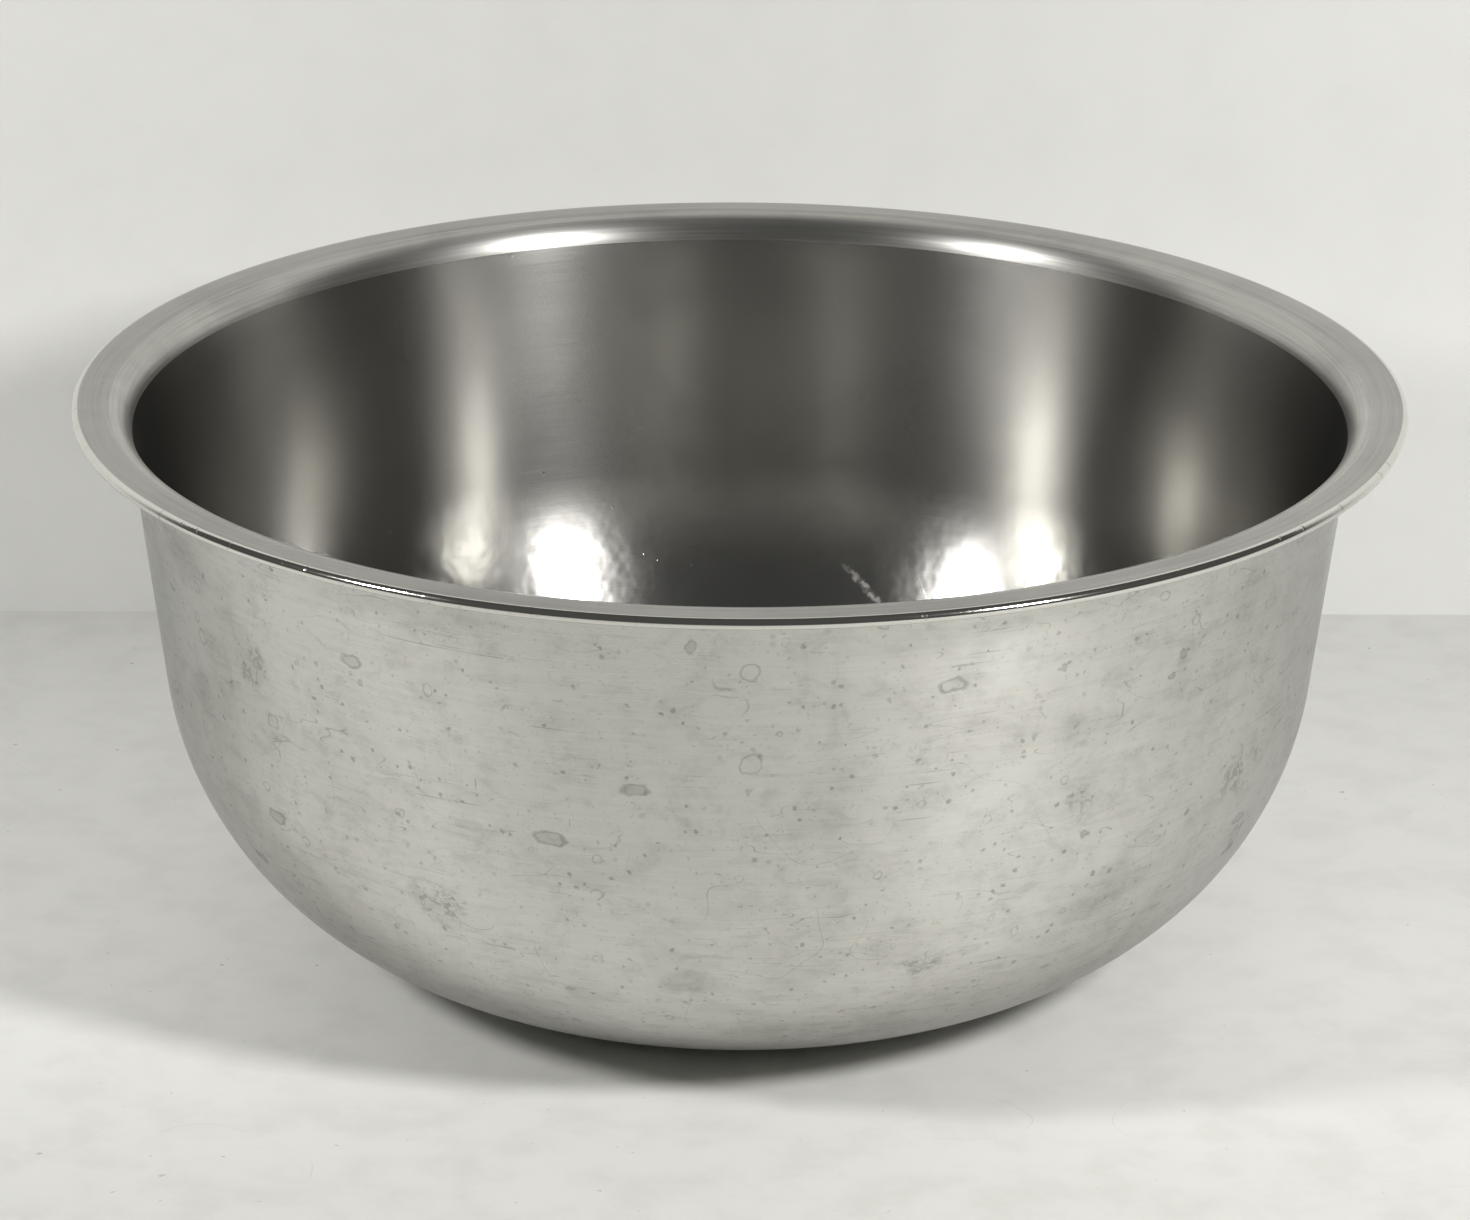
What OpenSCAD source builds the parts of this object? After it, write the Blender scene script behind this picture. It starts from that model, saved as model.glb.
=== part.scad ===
// Mixing bowl for a kitchen stand mixer, drawn from one sheet of stainless steel.
// A flat base turns through a large rounded corner into a wall that leans slightly
// outward. At the top the sheet bends out into a narrow flat flange, and its edge is
// curled under into a small round bead. Base, wall, flange and bead are one sheet.
// The origin is the centre of the base, on the surface the bowl stands on. +Z is up.

/* [Bowl] */
// Outside diameter, over the curled edge of the flange
rim_d = 240; // [232:1:300]
// Height from the surface the bowl stands on to the top of the flange
bowl_h = 104.7; // [84:0.1:160]
// Thickness of the sheet
sheet_t = 0.7; // [0.5:0.1:0.9]

/* [Wall] */
// Outside diameter the wall would reach if it ran straight up to the flange's top
mouth_d = 221.4; // [190:0.2:224]
// Lean of the wall from the vertical, in degrees
wall_lean = 6.8; // [0:0.2:12]
// Outside radius of the rounded corner between the base and the wall
corner_r = 60.4; // [30:0.2:76]

/* [Rim] */
// Radius of the bend between the wall and the flange, on the side that faces up
neck_r = 5.6; // [2:0.2:8]
// Outside diameter of the curled edge
curl_d = 2; // [2:0.1:3.6]
// Turn of the curled edge, in degrees, from flat flange to the end of the sheet
curl_turn = 270; // [185:5:290]

/* [Hidden] */
$fn = 240;

rim_r = rim_d / 2;
curl_r = curl_d / 2;
// Straight steps that each bend is drawn with
corner_steps = 40;
neck_steps = 16;
curl_steps = 24;

// Unit vectors across the wall, outward, and up along it
across = [cos(wall_lean), -sin(wall_lean)];
along = [sin(wall_lean), cos(wall_lean)];
// Distance from the origin to the line of the wall's outer face
wall_reach = [mouth_d / 2, bowl_h] * across;
// Centre of the rounded corner, which touches both the base plane and the wall line
corner_c = [(wall_reach - corner_r * (1 - along[0])) / across[0], corner_r];
// Centre of the bend at the neck, outside the wall and below the flange
neck_c_z = bowl_h - neck_r;
neck_c = [(wall_reach - sheet_t + neck_r + along[0] * neck_c_z) / across[0], neck_c_z];
// Centre of the curled edge, level with the flange's top and with the rim
curl_c = [rim_r - curl_r, bowl_h - curl_r];

// Points of a bend about centre c, from angle a0 to a1
function bend(c, r, a0, a1, steps) =
    [for (i = [0:steps]) let (a = a0 + (a1 - a0) * i / steps) c + r * [cos(a), sin(a)]];

// The face of the sheet that is inside the bowl and on top of the flange, from the
// axis outward. depth moves it into the sheet: 0 is this face, sheet_t the other one.
function face(depth) = concat(
    [[0, sheet_t - depth]],
    bend(corner_c, corner_r - sheet_t + depth, -90, -wall_lean, corner_steps),
    bend(neck_c, neck_r - depth, 180 - wall_lean, 90, neck_steps),
    bend(curl_c, curl_r - depth, 90, 90 - curl_turn, curl_steps)
);

// Turns a list of points end for end
function reversed(p) = [for (i = [len(p) - 1:-1:0]) p[i]];

// Half section of the whole sheet, from the axis to the end of the curl
module section() {
    polygon(concat(face(0), reversed(face(sheet_t))));
}

module bowl() {
    color([0.67, 0.66, 0.64])
        rotate_extrude()
            section();
}

bowl();
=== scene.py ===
"""Looks of the mixing bowl: a worn, satin steel bowl with a polished inside, on a white table.

The bowl is one sheet of steel. Its finished mesh is spun from the same section as the CAD
solid, with finer bends, and carries one steel material for each kind of surface: the scratched
and water-stained outside, the polished inside, the brushed flange and the bright curled edge.
All lengths are in metres and all angles in degrees unless a name says otherwise.
"""

import math

import bpy
from mathutils import Matrix, Vector


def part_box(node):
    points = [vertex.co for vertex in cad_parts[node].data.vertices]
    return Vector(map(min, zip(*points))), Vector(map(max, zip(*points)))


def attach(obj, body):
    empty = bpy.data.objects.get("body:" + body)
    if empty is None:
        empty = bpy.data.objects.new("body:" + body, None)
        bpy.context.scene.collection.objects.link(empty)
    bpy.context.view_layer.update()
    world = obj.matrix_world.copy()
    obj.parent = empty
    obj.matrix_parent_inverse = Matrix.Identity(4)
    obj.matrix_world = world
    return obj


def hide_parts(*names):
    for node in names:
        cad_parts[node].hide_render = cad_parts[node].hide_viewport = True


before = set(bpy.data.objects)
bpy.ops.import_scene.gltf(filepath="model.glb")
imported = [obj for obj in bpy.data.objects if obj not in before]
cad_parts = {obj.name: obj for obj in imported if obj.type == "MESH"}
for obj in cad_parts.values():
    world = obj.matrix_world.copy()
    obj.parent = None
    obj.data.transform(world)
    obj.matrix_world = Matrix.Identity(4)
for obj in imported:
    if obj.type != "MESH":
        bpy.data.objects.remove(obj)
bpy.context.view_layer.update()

# The sheet and its bends, as the CAD part has them. The rim and the height come from the CAD part too.
SHEET_T = 0.0007
MOUTH_R = 0.1107
WALL_LEAN = 6.8
CORNER_R = 0.0604
NECK_R = 0.0056
CURL_R = 0.001
CURL_TURN = 270

# Points along each stretch of the section, and round the bowl
BASE_RINGS = 8
CORNER_STEPS = 44
WALL_STEPS = 14
NECK_STEPS = 16
FLANGE_STEPS = 4
CURL_STEPS = 18
SPIN_STEPS = 360

# A point this near to the axis is on it
ON_AXIS = 1e-9

# Material slots of the bowl
INSIDE, FLANGE, EDGE, OUTSIDE = range(4)

# The sheet strays from a true round by about this much, from this height up
WAVER = 0.00003
WAVER_FROM = 0.03

# Camera: distance from the rim's centre in rim radii, then angles and a lens for a 36 mm sensor
CAMERA_RADII = 8.0
CAMERA_RISE = 18.12
CAMERA_PITCH = 20.533
CAMERA_ROLL = 0.35
CAMERA_YAW = -0.0435
LENS = 130.04

# The backdrop stands this far behind the bowl's axis, turned a little, and reaches this high
WALL_Y = 0.1625
WALL_TURN = -0.65
STAGE_TOP = 0.40

# The table's outer radius, which is half the backdrop's width too, and the hole under the base
STAGE_HALF = 1.6
TABLE_HOLE_R = 0.044
TABLE_STEPS = 96

# Painted shade: the table darkens towards the front between these places along Y,
# and the backdrop darkens upwards between these heights
TABLE_PAINTED_SHADE = (0.0, -0.15)
WALL_PAINTED_SHADE = (0.01, 0.11)
TABLE_WHITE = (0.81, 0.81, 0.79)
BACKDROP_WHITE = (0.86, 0.86, 0.845)
MOTTLE_AND_SHADE_GREY = (0.5, 0.5, 0.47)
SPECK_GREY = (0.25, 0.24, 0.22)
PAINT_ROUGH = 0.75

# Lamps: distance from the bowl's middle, angle above it, turns from the front, watts, size and colour
LAMP_AWAY = 0.62
LAMP_RISE = 33
RIGHT_LAMP_TURN = 45
LEFT_LAMP_TURN = -60
RIGHT_LAMP_POWER = 3.15
LEFT_LAMP_POWER = 2.0
LAMP_SIZE = (0.08, 0.12)
LAMP_WHITE = (1.0, 0.992, 0.975)
ROOM_GREY = (0.075, 0.075, 0.073)


# ---------------------------------------------------------------- the section of the sheet


def bend(centre, radius, start, end, steps):
    """Points of an arc about centre, from angle start to angle end."""
    angles = [math.radians(start + (end - start) * i / steps) for i in range(steps + 1)]
    return [(centre[0] + radius * math.cos(a), centre[1] + radius * math.sin(a)) for a in angles]


def between(a, b, steps):
    """The points strictly between a and b that cut the line into equal steps."""
    return [
        (a[0] + (b[0] - a[0]) * i / steps, a[1] + (b[1] - a[1]) * i / steps)
        for i in range(1, steps)
    ]


def section(rim_r, bowl_h, depth):
    """One face of the sheet from the axis to the end of the curl, as {zone: points}.

    depth 0 is the face inside the bowl, and depth SHEET_T is the face outside it.
    """
    across = (math.cos(math.radians(WALL_LEAN)), -math.sin(math.radians(WALL_LEAN)))
    along = (-across[1], across[0])
    reach = MOUTH_R * across[0] + bowl_h * across[1]
    corner = ((reach - CORNER_R * (1 - along[0])) / across[0], CORNER_R)
    neck_z = bowl_h - NECK_R
    neck = ((reach - SHEET_T + NECK_R + along[0] * neck_z) / across[0], neck_z)
    curl = (rim_r - CURL_R, bowl_h - CURL_R)

    corner_pts = bend(corner, CORNER_R - SHEET_T + depth, -90, -WALL_LEAN, CORNER_STEPS)
    neck_pts = bend(neck, NECK_R - depth, 180 - WALL_LEAN, 90, NECK_STEPS)
    curl_pts = bend(curl, CURL_R - depth, 90, 90 - CURL_TURN, CURL_STEPS)
    axis_pt = (0.0, SHEET_T - depth)
    return {
        "base": [axis_pt] + between(axis_pt, corner_pts[0], BASE_RINGS),
        "corner": corner_pts,
        "wall": between(corner_pts[-1], neck_pts[0], WALL_STEPS),
        "neck": neck_pts,
        "flange": between(neck_pts[-1], curl_pts[0], FLANGE_STEPS),
        "curl": curl_pts,
    }


# ---------------------------------------------------------------- meshes


def waver(angle, z):
    """How far the pressed sheet strays outward at this place: nothing at the base, more above."""
    size = WAVER * min(1.0, z / WAVER_FROM)
    slow = math.cos(5 * angle + 0.7) + 0.7 * math.cos(9 * angle + 2.1 + 30 * z)
    quick = 0.5 * math.cos(16 * angle + 0.4 - 70 * z) + 0.3 * math.cos(27 * angle + 1.3 + 95 * z)
    return size * (slow + quick)


def spin(name, profile):
    """A smooth mesh of profile, points (r, z) that start and end on the axis, spun about Z.

    profile is a list of (point, slot index); each ring of faces takes its first point's slot.
    """
    verts, faces, slots = [], [], []
    rings = []
    for (r, z), _ in profile:
        if r < ON_AXIS:
            rings.append([len(verts)])
            verts.append((0.0, 0.0, z))
            continue
        first = len(verts)
        for k in range(SPIN_STEPS):
            a = 2 * math.pi * k / SPIN_STEPS
            out = r + waver(a, z)
            verts.append((out * math.sin(a), out * math.cos(a), z))
        rings.append(list(range(first, first + SPIN_STEPS)))
    for i in range(len(rings) - 1):
        low, high = rings[i], rings[i + 1]
        for k in range(SPIN_STEPS):
            n = (k + 1) % SPIN_STEPS
            if len(low) == 1:
                face = (low[0], high[n], high[k])
            elif len(high) == 1:
                face = (low[k], low[n], high[0])
            else:
                face = (low[k], low[n], high[n], high[k])
            faces.append(face)
            slots.append(profile[i][1])
    mesh = bpy.data.meshes.new(name)
    mesh.from_pydata(verts, [], faces)
    mesh.polygons.foreach_set("use_smooth", [True] * len(faces))
    mesh.polygons.foreach_set("material_index", slots)
    mesh.update()
    obj = bpy.data.objects.new(name, mesh)
    bpy.context.scene.collection.objects.link(obj)
    return obj


def make_bowl(rim_r, bowl_h):
    """The finished bowl, one closed skin round the whole sheet."""
    up = section(rim_r, bowl_h, 0.0)
    under = section(rim_r, bowl_h, SHEET_T)
    top_slot = {"base": INSIDE, "corner": INSIDE, "wall": INSIDE, "neck": FLANGE, "flange": FLANGE}
    profile = []
    for zone, pts in up.items():
        profile += [(p, top_slot.get(zone, EDGE)) for p in pts]
    for zone in reversed(list(under)):
        slot = EDGE if zone == "curl" else OUTSIDE
        profile += [(p, slot) for p in reversed(under[zone])]
    return spin("mixing_bowl", profile)


# ---------------------------------------------------------------- materials


class Nodes:
    """Short names for the shader nodes of one material."""

    def __init__(self, name):
        self.mat = bpy.data.materials.new(name)
        self.mat.use_nodes = True
        self.tree = self.mat.node_tree
        self.tree.nodes.clear()

    def add(self, kind, inputs=None, **props):
        node = self.tree.nodes.new(kind)
        for key, value in props.items():
            setattr(node, key, value)
        for key, value in (inputs or {}).items():
            self.plug(node.inputs[key], value)
        return node

    def plug(self, socket, value):
        if isinstance(value, bpy.types.NodeSocket):
            self.tree.links.new(value, socket)
        elif value is not None:
            socket.default_value = value

    def math(self, operation, a, b=None, c=None, clamp=False):
        node = self.add("ShaderNodeMath", operation=operation, use_clamp=clamp)
        for socket, value in zip(node.inputs, (a, b, c)):
            self.plug(socket, value)
        return node.outputs[0]

    def total(self, *terms):
        """The sum of (value, weight) terms."""
        result = 0.0
        for value, weight in terms:
            result = self.math("MULTIPLY_ADD", value, weight, result)
        return result

    def vector(self, x, y, z):
        return self.add("ShaderNodeCombineXYZ", {"X": x, "Y": y, "Z": z}).outputs[0]

    def noise(self, vector, scale, detail=2.0, rough=0.5, distort=0.0):
        node = self.add(
            "ShaderNodeTexNoise",
            {"Vector": vector, "Scale": scale, "Detail": detail, "Roughness": rough, "Distortion": distort},
        )
        return node.outputs["Fac"]

    def cells(self, vector, scale):
        """Distance from the nearest of many scattered points, and three random numbers of that point."""
        node = self.add("ShaderNodeTexVoronoi", {"Vector": vector, "Scale": scale})
        dice = self.add("ShaderNodeSeparateColor", {"Color": node.outputs["Color"]})
        return node.outputs["Distance"], dice.outputs

    def smooth(self, value, low, high, to_low=0.0, to_high=1.0):
        node = self.add(
            "ShaderNodeMapRange",
            {"Value": value, "From Min": low, "From Max": high, "To Min": to_low, "To Max": to_high},
            interpolation_type="SMOOTHSTEP",
        )
        return node.outputs["Result"]

    def mix(self, share, a, b):
        node = self.add("ShaderNodeMix", data_type="RGBA")
        self.plug(node.inputs["Factor"], share)
        self.plug(node.inputs[6], a)
        self.plug(node.inputs[7], b)
        return node.outputs[2]


# Distance given to a scattered point that carries no mark, far outside any mark's edge
NO_MARK = 99.0

# In whole turns from the tangent: reflections spread across the brushing
ACROSS_BRUSHING = 0.25


def rgba(r, g, b):
    """A colour that hides what is behind it."""
    return (r, g, b, 1.0)


class BowlSpace:
    """Where a shaded point lies on the bowl."""

    def __init__(self, n):
        self.n = n
        self.place = n.add("ShaderNodeTexCoord").outputs["Object"]
        self.x, self.y, self.z = n.add("ShaderNodeSeparateXYZ", {"Vector": self.place}).outputs
        flat = n.vector(self.x, self.y, 0.0)
        self.r = n.add("ShaderNodeVectorMath", {0: flat}, operation="LENGTH").outputs["Value"]
        self.heading = n.add("ShaderNodeVectorMath", {0: flat}, operation="NORMALIZE").outputs["Vector"]

    def brushed(self, around, up):
        """Coordinates for marks that run round the bowl: features per radian, and per metre across."""
        n = self.n
        hx, hy, _ = n.add("ShaderNodeSeparateXYZ", {"Vector": self.heading}).outputs
        across = n.math("ADD", self.r, self.z)
        return n.vector(
            n.math("MULTIPLY", hx, around),
            n.math("MULTIPLY", hy, around),
            n.math("MULTIPLY", across, up),
        )

    def stretched(self, place, times, turned=0.0):
        """place with heights multiplied, for scattered marks that are wide above 1 and tall below 1.

        turned, in degrees, moves the marks to other places and leaves their slant alone.
        """
        turn = (0.0, math.radians(turned), 0.0)
        inputs = {"Vector": place, "Rotation": turn, "Scale": (1.0, 1.0, times)}
        return self.n.add("ShaderNodeMapping", inputs).outputs[0]

    def ragged(self, scale, size):
        """The point's place, shifted at random by up to about size, so that marks get uneven edges."""
        n = self.n
        shift = n.add("ShaderNodeTexNoise", {"Vector": self.place, "Scale": scale, "Detail": 3.0})
        middle = (0.5, 0.5, 0.5)
        centred = n.add("ShaderNodeVectorMath", {0: shift.outputs["Color"], 1: middle}, operation="SUBTRACT")
        small = n.add("ShaderNodeVectorMath", {0: centred.outputs[0], "Scale": 4 * size}, operation="SCALE")
        moved = n.add("ShaderNodeVectorMath", {0: self.place, 1: small.outputs[0]}, operation="ADD")
        return moved.outputs[0]


def mark(n, place, r, turn, height, half_w, half_h, tilt):
    """Distance from a mark's centre in half widths: 1 at its edge.

    turn and tilt are in degrees, round the bowl from the front and up at the right-hand end.
    """
    a = math.radians(turn)
    node = n.add(
        "ShaderNodeMapping",
        {
            "Vector": place,
            "Location": (r * math.sin(a), -r * math.cos(a), height),
            "Rotation": (0.0, -math.radians(tilt), a),
            "Scale": (half_w, MARK_DEPTH, half_h),
        },
        vector_type="TEXTURE",
    )
    return n.add("ShaderNodeVectorMath", {0: node.outputs[0]}, operation="LENGTH").outputs["Value"]


def scattered(n, place, scale, least, most, share):
    """Round marks of least to most metres in radius on a share of scattered points: 1 at the edge."""
    distance, dice = n.cells(place, scale)
    radius = n.smooth(dice[1], 0.0, 1.0, least * scale, most * scale)
    missing = n.math("GREATER_THAN", dice[0], share)
    return n.math("MULTIPLY_ADD", missing, NO_MARK, n.math("DIVIDE", distance, radius))


def curves(n, place, scale, width):
    """Long thin wandering lines, where a slow noise passes its middle value."""
    off = n.math("ABSOLUTE", n.math("SUBTRACT", n.noise(place, scale, 1.0, 0.4), 0.5))
    return n.smooth(off, width, 0.0)


def outline(n, distance, thick):
    """A thin line along the edge of a mark, from its distance: 1 on the line and 0 off it."""
    outer = n.smooth(distance, 1.0 + thick, 1.0)
    inner = n.smooth(distance, 1.0 - 2 * thick, 1.0 - thick)
    return n.math("MULTIPLY", outer, inner)


def steel(n, colour, rough, height, anisotropy, grazing):
    """Bare steel whose brushing runs round the bowl, which spreads reflections up and down.

    grazing is how much of the light it reflects at a flat angle: below 1, its outlines grow darker.
    """
    bump = n.add("ShaderNodeBump", {"Height": height, "Strength": 1.0, "Distance": 1.0})
    around = n.add("ShaderNodeTangent", direction_type="RADIAL", axis="Z")
    surface = n.add(
        "ShaderNodeBsdfPrincipled",
        {
            "Base Color": colour,
            "Metallic": 1.0,
            "Roughness": rough,
            "Specular Tint": rgba(grazing, grazing, grazing),
            "Anisotropic": anisotropy,
            "Anisotropic Rotation": ACROSS_BRUSHING,
            "Tangent": around.outputs[0],
            "Normal": bump.outputs[0],
        },
    )
    n.add("ShaderNodeOutputMaterial", {"Surface": surface.outputs[0]})
    return n.mat


# Colours of the steel: polished, faintly blue, under a water mark and in the painted shade near the table,
# and in a pit
CLEAN = rgba(0.735, 0.725, 0.685)
BLUED = rgba(0.69, 0.69, 0.665)
STAIN_AND_SHADE = rgba(0.40, 0.395, 0.375)
PITTED = rgba(0.16, 0.155, 0.145)
INSIDE_CLEAN = rgba(0.435, 0.43, 0.41)
INSIDE_GRIME = rgba(0.25, 0.245, 0.23)
# The neck is lighter than the flange: painted highlight where the lamps shine on it
NECK_STEEL_AND_HIGHLIGHT = rgba(0.58, 0.575, 0.55)
FLANGE_CLEAN = rgba(0.40, 0.395, 0.375)
FLANGE_GRIME = rgba(0.22, 0.215, 0.205)

# Roughness of each surface before its brushing and clouds are added
OUTSIDE_ROUGH = 0.215
FLOOR_ROUGH = 0.225
WALL_ROUGH = 0.235
NECK_ROUGH = 0.25
FLANGE_ROUGH = 0.08
EDGE_ROUGH = 0.06

# Painted shade: the outside's colour darkens from the first of these heights down to the second, near the
# table
BASE_PAINTED_SHADE = (0.034, 0.004)

# Inside, brushing comes in between the first two heights, and the gloss drops between the second two
INSIDE_BRUSHED = (0.034, 0.060)
INSIDE_SATIN = (0.058, 0.084)

# The neck's finish, whose lighter colour is painted highlight, turns into the flange's
# between these two distances from the axis
NECK_ZONE = (0.1125, 0.1145)

# The scuff on the floor, behind the middle and to the right: a rougher mark whose lighter colour is a
# painted glint. Distance from the axis, turn from the front, height, half length, half width and tilt
GLINT = (0.098, 165, 0.032, 0.008, 0.001, 38)

# A mark reaches this far into and out of the surface, so that it covers a curved place too
MARK_DEPTH = 0.015


def steel_outside():
    """Satin wall and base: fine scratches round the bowl, clouds, water marks, pits and painted shade low
    down.
    """
    n = Nodes("steel_outside")
    s = BowlSpace(n)
    fine = n.noise(s.brushed(9.0, 5200.0), 1.0, 3.0, 0.6)
    broad = n.noise(s.brushed(3.0, 900.0), 1.0, 3.0, 0.55)
    cloud = n.noise(s.place, 24.0, 5.0, 0.62, 0.4)
    patch = n.noise(s.place, 70.0, 5.0, 0.68, 0.8)
    cuts = n.smooth(n.noise(s.brushed(5.0, 2600.0), 1.0, 1.0, 0.4), 0.70, 0.76)
    cuts = n.math("MULTIPLY", cuts, n.smooth(patch, 0.46, 0.56))
    round_lines = curves(n, s.brushed(5.0, 230.0), 1.0, 0.006)
    free_lines = curves(n, s.place, 46.0, 0.0022)
    lines = n.math("MAXIMUM", round_lines, free_lines)
    lines = n.math("MULTIPLY", lines, n.smooth(n.noise(s.place, 95.0, 2.0, 0.5), 0.50, 0.60))

    edge_place = s.ragged(420.0, 0.0005)
    frayed = s.ragged(900.0, 0.00035)
    flat_place = s.stretched(edge_place, 2.0)
    drops = scattered(n, edge_place, 120.0, least=0.0005, most=0.0013, share=0.07)
    stains = scattered(n, flat_place, 60.0, least=0.0009, most=0.0030, share=0.38)
    blots = n.math("MINIMUM", drops, stains)
    small_rings = scattered(n, edge_place, 170.0, least=0.0005, most=0.0012, share=0.34)
    wide_rings = scattered(n, edge_place, 75.0, least=0.0009, most=0.0019, share=0.28)
    rings = n.math("MINIMUM", small_rings, wide_rings)
    filled = n.smooth(blots, 1.0, 0.80)
    ring_edges = n.math("MULTIPLY", outline(n, rings, 0.12), 0.8)
    edges = n.math("MAXIMUM", outline(n, blots, 0.13), ring_edges)
    edges = n.math("MULTIPLY", edges, n.smooth(n.noise(s.place, 260.0, 2.0, 0.5), 0.36, 0.62, 0.55, 1.0))
    cloud_place = s.stretched(s.ragged(90.0, 0.003), 2.0)
    clouds = scattered(n, cloud_place, 28.0, least=0.003, most=0.012, share=0.85)
    clouded = n.smooth(clouds, 1.25, 0.45)
    pit_patches = scattered(n, s.ragged(160.0, 0.002), 36.0, least=0.003, most=0.006, share=0.55)
    pitted = n.smooth(pit_patches, 1.2, 0.5)
    tall_place = s.stretched(s.place, 0.06, 14.0)
    scores = scattered(n, tall_place, 300.0, least=0.0001, most=0.00022, share=0.7)
    scored = n.smooth(scores, 1.0, 0.5)
    clusters = n.math("MAXIMUM", n.smooth(patch, 0.42, 0.56, 0.4, 1.0), pitted)
    mottle = n.noise(s.brushed(16.0, 260.0), 1.0, 5.0, 0.72, 0.5)
    # Painted shade: darker colour low on the outside, near the table
    low = n.smooth(s.z, *BASE_PAINTED_SHADE)
    crinkled = n.smooth(n.noise(s.place, 620.0, 3.0, 0.7, 0.6), 0.47, 0.60)
    crinkled = n.math("MULTIPLY", crinkled, pitted)
    grains = scattered(n, frayed, 950.0, least=0.00012, most=0.00034, share=0.75)
    grains = n.smooth(grains, 1.0, 0.4)
    smudges = scattered(n, frayed, 430.0, least=0.00022, most=0.00065, share=0.75)
    smudges = n.math("MULTIPLY", n.smooth(smudges, 1.0, 0.40), clusters)
    pits = scattered(n, frayed, 300.0, least=0.00015, most=0.00045, share=0.30)
    pits = n.smooth(pits, 1.0, 0.5)
    pits = n.math("MULTIPLY", pits, n.math("ADD", n.math("MULTIPLY", clusters, 0.7), 0.1))

    darker_share = n.total(
        (n.smooth(cloud, 0.38, 0.70), 0.26),
        (n.smooth(patch, 0.42, 0.68), 0.20),
        (n.smooth(mottle, 0.46, 0.70), 0.26),
        (low, 0.40),
        (clouded, 0.26),
        (pitted, 0.12),
        (crinkled, 0.55),
        (grains, 0.32),
        (filled, 0.30),
        (edges, 0.62),
        (cuts, 0.55),
        (lines, 0.6),
        (scored, 0.60),
        (smudges, 0.85),
        (n.math("SUBTRACT", fine, 0.5), 0.42),
        (n.math("SUBTRACT", broad, 0.5), 0.26),
    )
    colour = n.mix(n.smooth(cloud, 0.60, 0.38), CLEAN, BLUED)
    colour = n.mix(n.math("ADD", darker_share, 0.0, clamp=True), colour, STAIN_AND_SHADE)
    colour = n.mix(n.math("MULTIPLY", pits, 0.75), colour, PITTED)
    rough = n.total((cloud, 0.08), (fine, 0.08), (filled, 0.04), (clouded, 0.02))
    rough = n.math("ADD", rough, OUTSIDE_ROUGH)
    height = n.total((fine, 1.6e-6), (broad, 1.5e-6), (cuts, -2e-6), (pits, -1.0e-5), (lines, -1.5e-6))
    return steel(n, colour, rough, height, anisotropy=0.8, grazing=0.68)


def steel_inside():
    """Polished base and corner that turn into a finely brushed wall."""
    n = Nodes("steel_inside")
    s = BowlSpace(n)
    fine = n.noise(s.brushed(7.0, 3600.0), 1.0, 3.0, 0.6)
    haze = n.noise(s.place, 30.0, 5.0, 0.6, 0.3)
    nicks = scattered(n, s.place, 300.0, least=0.00015, most=0.00050, share=0.35)
    nicks = n.smooth(nicks, 1.0, 0.5)
    cuts = n.smooth(n.noise(s.brushed(4.0, 2200.0), 1.0, 1.0, 0.4), 0.71, 0.77)
    wall = n.smooth(s.z, *INSIDE_BRUSHED)
    swirls = n.math("MULTIPLY", curves(n, s.place, 60.0, 0.003), n.smooth(haze, 0.45, 0.60))
    streaky = n.smooth(n.noise(s.place, 900.0, 2.0, 0.5), 0.36, 0.60, 0.2, 0.8)
    glints = n.smooth(mark(n, s.ragged(500.0, 0.0005), *GLINT), 1.0, 0.3)
    glints = n.math("MULTIPLY", glints, streaky)
    grime = n.total((n.smooth(haze, 0.45, 0.75), 0.45), (nicks, 0.5), (cuts, 0.25), (swirls, 0.35))
    colour = n.mix(grime, INSIDE_CLEAN, INSIDE_GRIME)
    # Painted glint: the scuff is lighter than the steel round it
    colour = n.mix(glints, colour, CLEAN)
    rough = n.smooth(s.z, *INSIDE_SATIN, FLOOR_ROUGH, WALL_ROUGH)
    uneven = n.total(
        (n.math("SUBTRACT", haze, 0.5), 0.08),
        (n.math("SUBTRACT", fine, 0.5), 0.04),
        (glints, 0.30),
    )
    rough = n.math("ADD", rough, uneven)
    dents = n.math("MULTIPLY", n.noise(s.place, 150.0, 2.0, 0.5), n.math("SUBTRACT", 1.0, wall))
    height = n.total(
        (n.math("MULTIPLY", fine, wall), 6e-7),
        (dents, 1.0e-4),
        (nicks, -1.6e-5),
        (cuts, -8e-7),
        (swirls, -2e-6),
    )
    return steel(n, colour, rough, height, anisotropy=0.75, grazing=0.55)


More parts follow.
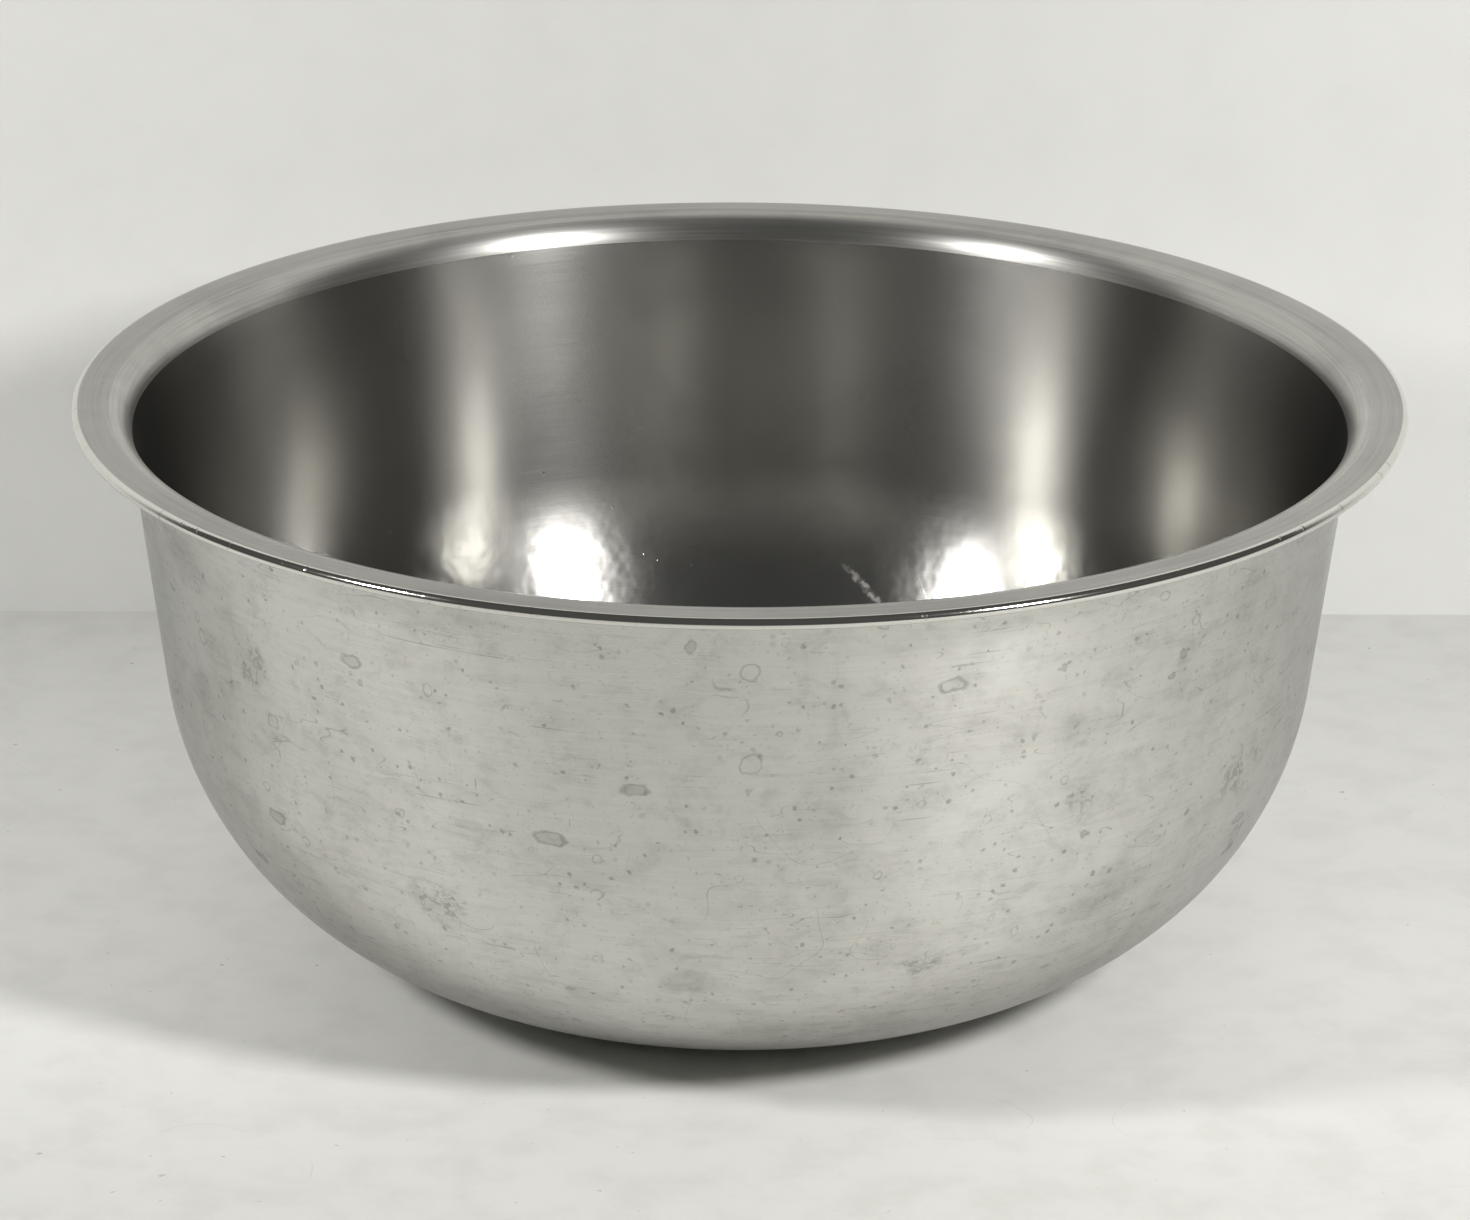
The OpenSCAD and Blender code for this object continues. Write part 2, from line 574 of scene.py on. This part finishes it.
def steel_flange():
    """Flange and neck, finely brushed round the bowl."""
    n = Nodes("steel_flange")
    s = BowlSpace(n)
    fine = n.noise(s.brushed(8.0, 6000.0), 1.0, 3.0, 0.6)
    broad = n.noise(s.brushed(2.5, 1500.0), 1.0, 2.0, 0.5)
    haze = n.noise(s.place, 30.0, 4.0, 0.6, 0.3)
    nicks = scattered(n, s.place, 260.0, least=0.00015, most=0.00050, share=0.18)
    nicks = n.smooth(nicks, 1.0, 0.5)
    darker_share = n.total(
        (n.smooth(haze, 0.42, 0.72), 0.3),
        (n.math("SUBTRACT", broad, 0.5), 0.9),
        (n.math("SUBTRACT", fine, 0.5), 0.6),
        (nicks, 0.6),
    )
    # Painted highlight: the neck's lighter colour
    steel_and_neck_highlight = n.mix(n.smooth(s.r, *NECK_ZONE), NECK_STEEL_AND_HIGHLIGHT, FLANGE_CLEAN)
    colour = n.mix(n.math("ADD", darker_share, 0.1, clamp=True), steel_and_neck_highlight, FLANGE_GRIME)
    least_rough = n.smooth(s.r, *NECK_ZONE, NECK_ROUGH, FLANGE_ROUGH)
    rough = n.math("ADD", n.total((haze, 0.10), (fine, 0.08)), least_rough)
    height = n.total((fine, 1.0e-6), (broad, 1.2e-6), (nicks, -6e-6))
    return steel(n, colour, rough, height, anisotropy=0.72, grazing=1.0)


def steel_edge():
    """The bright curled edge, with small knocks."""
    n = Nodes("steel_edge")
    s = BowlSpace(n)
    fine = n.noise(s.brushed(16.0, 3000.0), 1.0, 2.0, 0.5)
    knocks = n.noise(s.brushed(70.0, 420.0), 1.0, 2.0, 0.55)
    deep = n.smooth(knocks, 0.60, 0.74)
    colour = n.mix(n.math("MULTIPLY", deep, 0.5), CLEAN, STAIN_AND_SHADE)
    rough = n.math("ADD", n.total((fine, 0.08), (deep, 0.10)), EDGE_ROUGH)
    height = n.total((knocks, 2.2e-5), (deep, -3e-5), (fine, 1.2e-6))
    return steel(n, colour, rough, height, anisotropy=0.3, grazing=1.0)


def bowl_materials():
    """One material for each of INSIDE, FLANGE, EDGE and OUTSIDE, in that order."""
    return [steel_inside(), steel_flange(), steel_edge(), steel_outside()]


# ---------------------------------------------------------------- the stage


def board(name, corners, faces):
    """A flat piece of the stage, which isn't part of the object."""
    mesh = bpy.data.meshes.new(name)
    mesh.from_pydata(corners, [], faces)
    obj = bpy.data.objects.new(name, mesh)
    bpy.context.scene.collection.objects.link(obj)
    return obj


def painted(name, colour, mottled, speck, axis, ends, dimmed):
    """Matt white paint that is clear from behind, so that a board never hides the bowl.

    mottled, speck and dimmed say how strong its clouds, its spots and its painted shade are. The painted
    shade runs along one axis, between the two places in ends.
    """
    n = Nodes(name)
    place = n.add("ShaderNodeTexCoord").outputs["Object"]
    along = n.add("ShaderNodeSeparateXYZ", {"Vector": place}).outputs[axis]
    soft = n.noise(place, 6.0, 4.0, 0.6)
    mottle = n.smooth(n.noise(place, 75.0, 4.0, 0.6), 0.40, 0.70)
    dots = n.smooth(n.noise(place, 420.0, 2.0, 0.5), 0.73, 0.78)
    marks = scattered(n, place, 26.0, least=0.0003, most=0.0011, share=0.30)
    marks = n.smooth(marks, 1.0, 0.4)
    in_places = n.smooth(n.noise(place, 30.0, 1.0), 0.58, 0.62)
    hairs = n.math("MULTIPLY", curves(n, place, 14.0, 0.0007), in_places)
    # Clouds of the paint, and painted shade along one axis
    mottle_and_shade = n.total((soft, 0.08), (mottle, mottled), (n.smooth(along, *ends), dimmed))
    base = n.mix(mottle_and_shade, rgba(*colour), rgba(*MOTTLE_AND_SHADE_GREY))
    spots = n.total((dots, 1.0), (marks, 1.2), (hairs, 0.5))
    base = n.mix(n.math("MULTIPLY", spots, speck, clamp=True), base, rgba(*SPECK_GREY))
    matt = n.add("ShaderNodeBsdfPrincipled", {"Base Color": base, "Roughness": PAINT_ROUGH})
    clear = n.add("ShaderNodeBsdfTransparent")
    back = n.add("ShaderNodeNewGeometry").outputs["Backfacing"]
    one_sided = n.add("ShaderNodeMixShader")
    n.plug(one_sided.inputs[0], back)
    n.plug(one_sided.inputs[1], matt.outputs[0])
    n.plug(one_sided.inputs[2], clear.outputs[0])
    n.add("ShaderNodeOutputMaterial", {"Surface": one_sided.outputs[0]})
    return n.mat


def ring_of_points(radius, steps):
    """Points of a circle on the table, about the bowl's axis."""
    angles = [2 * math.pi * k / steps for k in range(steps)]
    return [(radius * math.cos(a), radius * math.sin(a), 0) for a in angles]


def make_stage():
    """A round table with a hole under the bowl's base, so that the base gets light, and a backdrop."""
    w, y, h = STAGE_HALF, WALL_Y, STAGE_TOP
    lean = w * math.tan(math.radians(WALL_TURN))
    steps = TABLE_STEPS
    rings = ring_of_points(TABLE_HOLE_R, steps) + ring_of_points(w, steps)
    around = [(k, steps + k, steps + (k + 1) % steps, (k + 1) % steps) for k in range(steps)]
    table = board("table", rings, around)
    table_paint = painted(
        "table_white", TABLE_WHITE, mottled=0.16, speck=0.5, axis="Y", ends=TABLE_PAINTED_SHADE, dimmed=0.50
    )
    table.data.materials.append(table_paint)
    corners = [(-w, y + lean, 0), (w, y - lean, 0), (w, y - lean, h), (-w, y + lean, h)]
    wall = board("backdrop", corners, [(0, 1, 2, 3)])
    wall_paint = painted(
        "backdrop_white", BACKDROP_WHITE, mottled=0.04, speck=0.0, axis="Z", ends=WALL_PAINTED_SHADE, dimmed=0.34
    )
    wall.data.materials.append(wall_paint)


def on_sphere(distance, side, rise):
    """A point at distance from the origin, side degrees to the right of the front, rise degrees up."""
    a, e = math.radians(side), math.radians(rise)
    return Vector((math.sin(a) * math.cos(e), -math.cos(a) * math.cos(e), math.sin(e))) * distance


def make_lamp(name, centre, turn, power):
    """An oval lamp that shines at centre."""
    place = centre + on_sphere(LAMP_AWAY, turn, LAMP_RISE)
    data = bpy.data.lights.new(name, "AREA")
    data.shape = "ELLIPSE"
    data.size, data.size_y = LAMP_SIZE
    data.energy = power
    data.color = LAMP_WHITE
    obj = bpy.data.objects.new(name, data)
    obj.location = place
    obj.rotation_mode = "QUATERNION"
    obj.rotation_quaternion = (centre - place).to_track_quat("-Z", "Y")
    bpy.context.scene.collection.objects.link(obj)


def make_lights(centre):
    """Two lamps at the front of the bowl and an even grey room."""
    make_lamp("lamp_right", centre, RIGHT_LAMP_TURN, RIGHT_LAMP_POWER)
    make_lamp("lamp_left", centre, LEFT_LAMP_TURN, LEFT_LAMP_POWER)
    world = bpy.data.worlds.new("room")
    world.use_nodes = True
    back = world.node_tree.nodes["Background"]
    back.inputs["Color"].default_value = rgba(*ROOM_GREY)
    back.inputs["Strength"].default_value = 1.0
    bpy.context.scene.world = world


def make_camera(rim_r, bowl_h):
    """A camera in front of the bowl that looks down on it, as in the photograph."""
    data = bpy.data.cameras.new("camera")
    data.sensor_width = 36
    data.lens = LENS
    data.clip_start, data.clip_end = 0.05, 20
    obj = bpy.data.objects.new("camera", data)
    obj.location = Vector((0, 0, bowl_h)) + on_sphere(CAMERA_RADII * rim_r, 0, CAMERA_RISE)
    turn = Matrix.Rotation(math.radians(-CAMERA_YAW), 4, "Z")
    tilt = Matrix.Rotation(math.radians(90 - CAMERA_PITCH), 4, "X")
    roll = Matrix.Rotation(math.radians(CAMERA_ROLL), 4, "Z")
    obj.rotation_euler = (turn @ tilt @ roll).to_euler()
    bpy.context.scene.collection.objects.link(obj)
    bpy.context.scene.camera = obj


def main():
    """Builds the bowl, the stage, the lights and the camera."""
    _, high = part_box("bowl")
    rim_r, bowl_h = high.x, high.z

    make_camera(rim_r, bowl_h)
    bowl = make_bowl(rim_r, bowl_h)
    for material in bowl_materials():
        bowl.data.materials.append(material)
    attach(bowl, "root")
    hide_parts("bowl")

    make_stage()
    make_lights(Vector((0, 0, bowl_h / 2)))
    bpy.context.scene.view_settings.view_transform = "Standard"


main()
